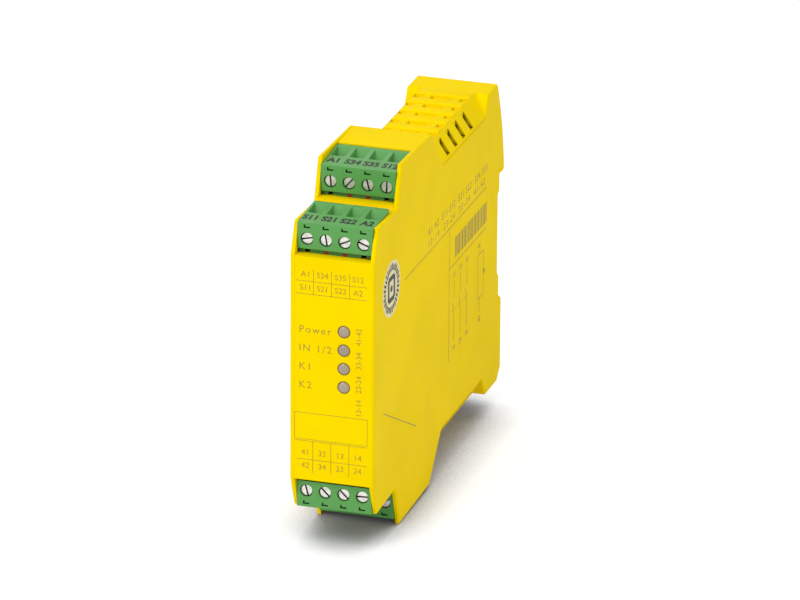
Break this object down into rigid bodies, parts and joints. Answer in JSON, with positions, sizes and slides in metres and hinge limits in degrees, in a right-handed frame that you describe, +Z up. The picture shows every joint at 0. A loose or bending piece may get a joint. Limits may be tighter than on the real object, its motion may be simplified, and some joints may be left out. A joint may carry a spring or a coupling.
{
  "type": "safety relay",
  "caption": "Narrow rail-mounted safety relay: yellow stepped housing with louvred top and bottom, pluggable green screw terminal blocks on two steps above and below, and a sprung foot latch.",
  "frame": {"origin": "middle of the rail seat plane, at mid width and mid height", "axes": "+Z up along the front panel's height, +Y rearwards to the mounting rail, +X to the right seen from the front"},
  "size_m": [0.0226, 0.1145, 0.099],
  "materials": {
    "housing_yellow": "fine moulded texture",
    "cover_yellow": "fine moulded texture",
    "plug_green": "satin",
    "header_green": "satin",
    "latch_black": "fine moulded texture",
    "screw_steel": "zinc plated",
    "sleeve_steel": "zinc plated",
    "spring_steel": "bright",
    "contact_brass": "tinned",
    "pin_brass": "tinned",
    "board_green": "solder mask",
    "lamp_clear": "frosted",
    "relay_case": "satin",
    "core_dark": "laminated",
    "can_aluminium": "sleeved",
    "tab_red": "satin"
  },
  "bodies": {
    "root": {"housing_shell": "housing_yellow", "side_cover": "cover_yellow", "latch_spring": "spring_steel", "circuit_board": "board_green", "light_guide": "lamp_clear", "relay_1": "relay_case", "relay_2": "relay_case", "transformer": "core_dark", "capacitor": "can_aluminium", "coding_tabs": "tab_red", "header_upper_front": "header_green", "header_pins_upper_front": "pin_brass", "header_upper_rear": "header_green", "header_pins_upper_rear": "pin_brass", "header_lower_front": "header_green", "header_pins_lower_front": "pin_brass", "header_lower_rear": "header_green", "header_pins_lower_rear": "pin_brass"},
    "latch": {"foot_latch": "latch_black"},
    "plug_upper_front": {"plug_upper_front": "plug_green", "contacts_upper_front": "contact_brass"},
    "screw_upper_front_1": {"screw_upper_front_1": "screw_steel"},
    "sleeve_upper_front_1": {"sleeve_upper_front_1": "sleeve_steel"},
    "screw_upper_front_2": {"screw_upper_front_2": "screw_steel"},
    "sleeve_upper_front_2": {"sleeve_upper_front_2": "sleeve_steel"},
    "screw_upper_front_3": {"screw_upper_front_3": "screw_steel"},
    "sleeve_upper_front_3": {"sleeve_upper_front_3": "sleeve_steel"},
    "screw_upper_front_4": {"screw_upper_front_4": "screw_steel"},
    "sleeve_upper_front_4": {"sleeve_upper_front_4": "sleeve_steel"},
    "plug_upper_rear": {"plug_upper_rear": "plug_green", "contacts_upper_rear": "contact_brass"},
    "screw_upper_rear_1": {"screw_upper_rear_1": "screw_steel"},
    "sleeve_upper_rear_1": {"sleeve_upper_rear_1": "sleeve_steel"},
    "screw_upper_rear_2": {"screw_upper_rear_2": "screw_steel"},
    "sleeve_upper_rear_2": {"sleeve_upper_rear_2": "sleeve_steel"},
    "screw_upper_rear_3": {"screw_upper_rear_3": "screw_steel"},
    "sleeve_upper_rear_3": {"sleeve_upper_rear_3": "sleeve_steel"},
    "screw_upper_rear_4": {"screw_upper_rear_4": "screw_steel"},
    "sleeve_upper_rear_4": {"sleeve_upper_rear_4": "sleeve_steel"},
    "plug_lower_front": {"plug_lower_front": "plug_green", "contacts_lower_front": "contact_brass"},
    "screw_lower_front_1": {"screw_lower_front_1": "screw_steel"},
    "sleeve_lower_front_1": {"sleeve_lower_front_1": "sleeve_steel"},
    "screw_lower_front_2": {"screw_lower_front_2": "screw_steel"},
    "sleeve_lower_front_2": {"sleeve_lower_front_2": "sleeve_steel"},
    "screw_lower_front_3": {"screw_lower_front_3": "screw_steel"},
    "sleeve_lower_front_3": {"sleeve_lower_front_3": "sleeve_steel"},
    "screw_lower_front_4": {"screw_lower_front_4": "screw_steel"},
    "sleeve_lower_front_4": {"sleeve_lower_front_4": "sleeve_steel"},
    "plug_lower_rear": {"plug_lower_rear": "plug_green", "contacts_lower_rear": "contact_brass"},
    "screw_lower_rear_1": {"screw_lower_rear_1": "screw_steel"},
    "sleeve_lower_rear_1": {"sleeve_lower_rear_1": "sleeve_steel"},
    "screw_lower_rear_2": {"screw_lower_rear_2": "screw_steel"},
    "sleeve_lower_rear_2": {"sleeve_lower_rear_2": "sleeve_steel"},
    "screw_lower_rear_3": {"screw_lower_rear_3": "screw_steel"},
    "sleeve_lower_rear_3": {"sleeve_lower_rear_3": "sleeve_steel"},
    "screw_lower_rear_4": {"screw_lower_rear_4": "screw_steel"},
    "sleeve_lower_rear_4": {"sleeve_lower_rear_4": "sleeve_steel"}
  },
  "joints": [
    {"name": "latch_slide", "type": "slide", "parent": "root", "child": "latch", "axis": [0, 0, -1], "range_m": [0, 0.0026], "stiffness_N_per_m": 1500, "springref_m": -0.001, "deforming": ["latch_spring"]},
    {"name": "plug_upper_front_slide", "type": "slide", "parent": "root", "child": "plug_upper_front", "axis": [0, -1, 0], "range_m": [0, 0.02]},
    {"name": "screw_upper_front_1_turn", "type": "hinge", "parent": "plug_upper_front", "child": "screw_upper_front_1", "pos_m": [-0.0075, -0.1054, 0.0345], "axis": [0, 1, 0], "range_deg": [0, 1200]},
    {"name": "sleeve_upper_front_1_lift", "type": "slide", "parent": "plug_upper_front", "child": "sleeve_upper_front_1", "axis": [0, -1, 0], "range_m": [0, 0.0015]},
    {"name": "screw_upper_front_2_turn", "type": "hinge", "parent": "plug_upper_front", "child": "screw_upper_front_2", "pos_m": [-0.0025, -0.1054, 0.0345], "axis": [0, 1, 0], "range_deg": [0, 1200]},
    {"name": "sleeve_upper_front_2_lift", "type": "slide", "parent": "plug_upper_front", "child": "sleeve_upper_front_2", "axis": [0, -1, 0], "range_m": [0, 0.0015]},
    {"name": "screw_upper_front_3_turn", "type": "hinge", "parent": "plug_upper_front", "child": "screw_upper_front_3", "pos_m": [0.0025, -0.1054, 0.0345], "axis": [0, 1, 0], "range_deg": [0, 1200]},
    {"name": "sleeve_upper_front_3_lift", "type": "slide", "parent": "plug_upper_front", "child": "sleeve_upper_front_3", "axis": [0, -1, 0], "range_m": [0, 0.0015]},
    {"name": "screw_upper_front_4_turn", "type": "hinge", "parent": "plug_upper_front", "child": "screw_upper_front_4", "pos_m": [0.0075, -0.1054, 0.0345], "axis": [0, 1, 0], "range_deg": [0, 1200]},
    {"name": "sleeve_upper_front_4_lift", "type": "slide", "parent": "plug_upper_front", "child": "sleeve_upper_front_4", "axis": [0, -1, 0], "range_m": [0, 0.0015]},
    {"name": "plug_upper_rear_slide", "type": "slide", "parent": "root", "child": "plug_upper_rear", "axis": [0, -1, 0], "range_m": [0, 0.02]},
    {"name": "screw_upper_rear_1_turn", "type": "hinge", "parent": "plug_upper_rear", "child": "screw_upper_rear_1", "pos_m": [-0.0075, -0.08625, 0.0433], "axis": [0, 1, 0], "range_deg": [0, 1200]},
    {"name": "sleeve_upper_rear_1_lift", "type": "slide", "parent": "plug_upper_rear", "child": "sleeve_upper_rear_1", "axis": [0, -1, 0], "range_m": [0, 0.0015]},
    {"name": "screw_upper_rear_2_turn", "type": "hinge", "parent": "plug_upper_rear", "child": "screw_upper_rear_2", "pos_m": [-0.0025, -0.08625, 0.0433], "axis": [0, 1, 0], "range_deg": [0, 1200]},
    {"name": "sleeve_upper_rear_2_lift", "type": "slide", "parent": "plug_upper_rear", "child": "sleeve_upper_rear_2", "axis": [0, -1, 0], "range_m": [0, 0.0015]},
    {"name": "screw_upper_rear_3_turn", "type": "hinge", "parent": "plug_upper_rear", "child": "screw_upper_rear_3", "pos_m": [0.0025, -0.08625, 0.0433], "axis": [0, 1, 0], "range_deg": [0, 1200]},
    {"name": "sleeve_upper_rear_3_lift", "type": "slide", "parent": "plug_upper_rear", "child": "sleeve_upper_rear_3", "axis": [0, -1, 0], "range_m": [0, 0.0015]},
    {"name": "screw_upper_rear_4_turn", "type": "hinge", "parent": "plug_upper_rear", "child": "screw_upper_rear_4", "pos_m": [0.0075, -0.08625, 0.0433], "axis": [0, 1, 0], "range_deg": [0, 1200]},
    {"name": "sleeve_upper_rear_4_lift", "type": "slide", "parent": "plug_upper_rear", "child": "sleeve_upper_rear_4", "axis": [0, -1, 0], "range_m": [0, 0.0015]},
    {"name": "plug_lower_front_slide", "type": "slide", "parent": "root", "child": "plug_lower_front", "axis": [0, -1, 0], "range_m": [0, 0.02]},
    {"name": "screw_lower_front_1_turn", "type": "hinge", "parent": "plug_lower_front", "child": "screw_lower_front_1", "pos_m": [-0.0075, -0.1054, -0.0345], "axis": [0, 1, 0], "range_deg": [0, 1200]},
    {"name": "sleeve_lower_front_1_lift", "type": "slide", "parent": "plug_lower_front", "child": "sleeve_lower_front_1", "axis": [0, -1, 0], "range_m": [0, 0.0015]},
    {"name": "screw_lower_front_2_turn", "type": "hinge", "parent": "plug_lower_front", "child": "screw_lower_front_2", "pos_m": [-0.0025, -0.1054, -0.0345], "axis": [0, 1, 0], "range_deg": [0, 1200]},
    {"name": "sleeve_lower_front_2_lift", "type": "slide", "parent": "plug_lower_front", "child": "sleeve_lower_front_2", "axis": [0, -1, 0], "range_m": [0, 0.0015]},
    {"name": "screw_lower_front_3_turn", "type": "hinge", "parent": "plug_lower_front", "child": "screw_lower_front_3", "pos_m": [0.0025, -0.1054, -0.0345], "axis": [0, 1, 0], "range_deg": [0, 1200]},
    {"name": "sleeve_lower_front_3_lift", "type": "slide", "parent": "plug_lower_front", "child": "sleeve_lower_front_3", "axis": [0, -1, 0], "range_m": [0, 0.0015]},
    {"name": "screw_lower_front_4_turn", "type": "hinge", "parent": "plug_lower_front", "child": "screw_lower_front_4", "pos_m": [0.0075, -0.1054, -0.0345], "axis": [0, 1, 0], "range_deg": [0, 1200]},
    {"name": "sleeve_lower_front_4_lift", "type": "slide", "parent": "plug_lower_front", "child": "sleeve_lower_front_4", "axis": [0, -1, 0], "range_m": [0, 0.0015]},
    {"name": "plug_lower_rear_slide", "type": "slide", "parent": "root", "child": "plug_lower_rear", "axis": [0, -1, 0], "range_m": [0, 0.02]},
    {"name": "screw_lower_rear_1_turn", "type": "hinge", "parent": "plug_lower_rear", "child": "screw_lower_rear_1", "pos_m": [-0.0075, -0.08625, -0.0433], "axis": [0, 1, 0], "range_deg": [0, 1200]},
    {"name": "sleeve_lower_rear_1_lift", "type": "slide", "parent": "plug_lower_rear", "child": "sleeve_lower_rear_1", "axis": [0, -1, 0], "range_m": [0, 0.0015]},
    {"name": "screw_lower_rear_2_turn", "type": "hinge", "parent": "plug_lower_rear", "child": "screw_lower_rear_2", "pos_m": [-0.0025, -0.08625, -0.0433], "axis": [0, 1, 0], "range_deg": [0, 1200]},
    {"name": "sleeve_lower_rear_2_lift", "type": "slide", "parent": "plug_lower_rear", "child": "sleeve_lower_rear_2", "axis": [0, -1, 0], "range_m": [0, 0.0015]},
    {"name": "screw_lower_rear_3_turn", "type": "hinge", "parent": "plug_lower_rear", "child": "screw_lower_rear_3", "pos_m": [0.0025, -0.08625, -0.0433], "axis": [0, 1, 0], "range_deg": [0, 1200]},
    {"name": "sleeve_lower_rear_3_lift", "type": "slide", "parent": "plug_lower_rear", "child": "sleeve_lower_rear_3", "axis": [0, -1, 0], "range_m": [0, 0.0015]},
    {"name": "screw_lower_rear_4_turn", "type": "hinge", "parent": "plug_lower_rear", "child": "screw_lower_rear_4", "pos_m": [0.0075, -0.08625, -0.0433], "axis": [0, 1, 0], "range_deg": [0, 1200]},
    {"name": "sleeve_lower_rear_4_lift", "type": "slide", "parent": "plug_lower_rear", "child": "sleeve_lower_rear_4", "axis": [0, -1, 0], "range_m": [0, 0.0015]}
  ],
  "couplings": [
    {"joint": "screw_upper_front_1_turn", "follows": "sleeve_upper_front_1_lift", "rad_per_m": 13955},
    {"joint": "screw_upper_front_2_turn", "follows": "sleeve_upper_front_2_lift", "rad_per_m": 13955},
    {"joint": "screw_upper_front_3_turn", "follows": "sleeve_upper_front_3_lift", "rad_per_m": 13955},
    {"joint": "screw_upper_front_4_turn", "follows": "sleeve_upper_front_4_lift", "rad_per_m": 13955},
    {"joint": "screw_upper_rear_1_turn", "follows": "sleeve_upper_rear_1_lift", "rad_per_m": 13955},
    {"joint": "screw_upper_rear_2_turn", "follows": "sleeve_upper_rear_2_lift", "rad_per_m": 13955},
    {"joint": "screw_upper_rear_3_turn", "follows": "sleeve_upper_rear_3_lift", "rad_per_m": 13955},
    {"joint": "screw_upper_rear_4_turn", "follows": "sleeve_upper_rear_4_lift", "rad_per_m": 13955},
    {"joint": "screw_lower_front_1_turn", "follows": "sleeve_lower_front_1_lift", "rad_per_m": 13955},
    {"joint": "screw_lower_front_2_turn", "follows": "sleeve_lower_front_2_lift", "rad_per_m": 13955},
    {"joint": "screw_lower_front_3_turn", "follows": "sleeve_lower_front_3_lift", "rad_per_m": 13955},
    {"joint": "screw_lower_front_4_turn", "follows": "sleeve_lower_front_4_lift", "rad_per_m": 13955},
    {"joint": "screw_lower_rear_1_turn", "follows": "sleeve_lower_rear_1_lift", "rad_per_m": 13955},
    {"joint": "screw_lower_rear_2_turn", "follows": "sleeve_lower_rear_2_lift", "rad_per_m": 13955},
    {"joint": "screw_lower_rear_3_turn", "follows": "sleeve_lower_rear_3_lift", "rad_per_m": 13955},
    {"joint": "screw_lower_rear_4_turn", "follows": "sleeve_lower_rear_4_lift", "rad_per_m": 13955}
  ]
}
